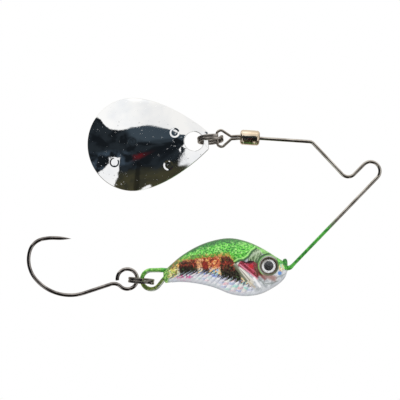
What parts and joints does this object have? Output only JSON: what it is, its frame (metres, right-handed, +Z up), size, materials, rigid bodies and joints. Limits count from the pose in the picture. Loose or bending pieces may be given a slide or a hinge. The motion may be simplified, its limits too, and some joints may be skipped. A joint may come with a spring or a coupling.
{
  "type": "spinner lure",
  "caption": "Small overhead-arm spinner lure: minnow-shaped metal body cast on a bent wire, barrel swivel, cupped blade on a split ring, and a single hook on a tail ring.",
  "frame": {"origin": "centre of the open wire bend that the fishing line is tied to (the line tie)", "axes": "+X forward, from tail to nose, in the direction of pull; +Z up, towards the fish's back and the blade arm; the wire, body, hook and blade lie in the XZ plane"},
  "size_m": [0.071, 0.0059, 0.0398],
  "materials": {
    "painted_body": "gloss",
    "holo_film": "holographic gloss",
    "eye_print": "gloss",
    "eye_resin": "clear gloss",
    "bright_wire": "bright drawn",
    "barrel_plate": "nickel-washed brass",
    "dark_wire": "dark bright wire",
    "ring_plate": "gunmetal plated",
    "mirror_nickel": "mirror plated",
    "black_nickel": "black nickel"
  },
  "bodies": {
    "lure_body": {"body_core": "painted_body", "film_left": "holo_film", "film_right": "holo_film", "eye_disc_left": "eye_print", "eye_disc_right": "eye_print", "eye_dome_left": "eye_resin", "eye_dome_right": "eye_resin", "wire_form": "bright_wire"},
    "barrel": {"swivel_barrel": "barrel_plate"},
    "swivel_end": {"swivel_eye": "dark_wire"},
    "blade_link": {"blade_ring": "ring_plate"},
    "blade": {"blade": "mirror_nickel"},
    "tail_link": {"tail_ring": "ring_plate"},
    "hook": {"hook": "black_nickel"}
  },
  "joints": [
    {"name": "barrel_spin", "type": "hinge", "parent": "lure_body", "child": "barrel", "pos_m": [-0.02412, 0, 0.00666], "axis": [-0.9978, 0, 0.0663], "continuous": true},
    {"name": "eye_spin", "type": "hinge", "parent": "barrel", "child": "swivel_end", "pos_m": [-0.02589, 0, 0.00678], "axis": [-0.9974, 0, -0.0715], "continuous": true},
    {"name": "blade_ring_swing", "type": "hinge", "parent": "swivel_end", "child": "blade_link", "pos_m": [-0.03066, 0, 0.00644], "axis": [-0.0715, 0, 0.9974], "range_deg": [-25, 25]},
    {"name": "blade_flare", "type": "hinge", "parent": "blade_link", "child": "blade", "pos_m": [-0.03297, 0, 0.00605], "axis": [-0.0523, 0, 0.9986], "range_deg": [-40, 40]},
    {"name": "tail_ring_swing", "type": "hinge", "parent": "lure_body", "child": "tail_link", "pos_m": [-0.04572, 0, -0.02176], "axis": [0, 0, 1], "range_deg": [-70, 70]},
    {"name": "hook_swing", "type": "hinge", "parent": "tail_link", "child": "hook", "pos_m": [-0.04864, 0, -0.0216], "axis": [0, 1, 0], "range_deg": [-90, 50]}
  ]
}
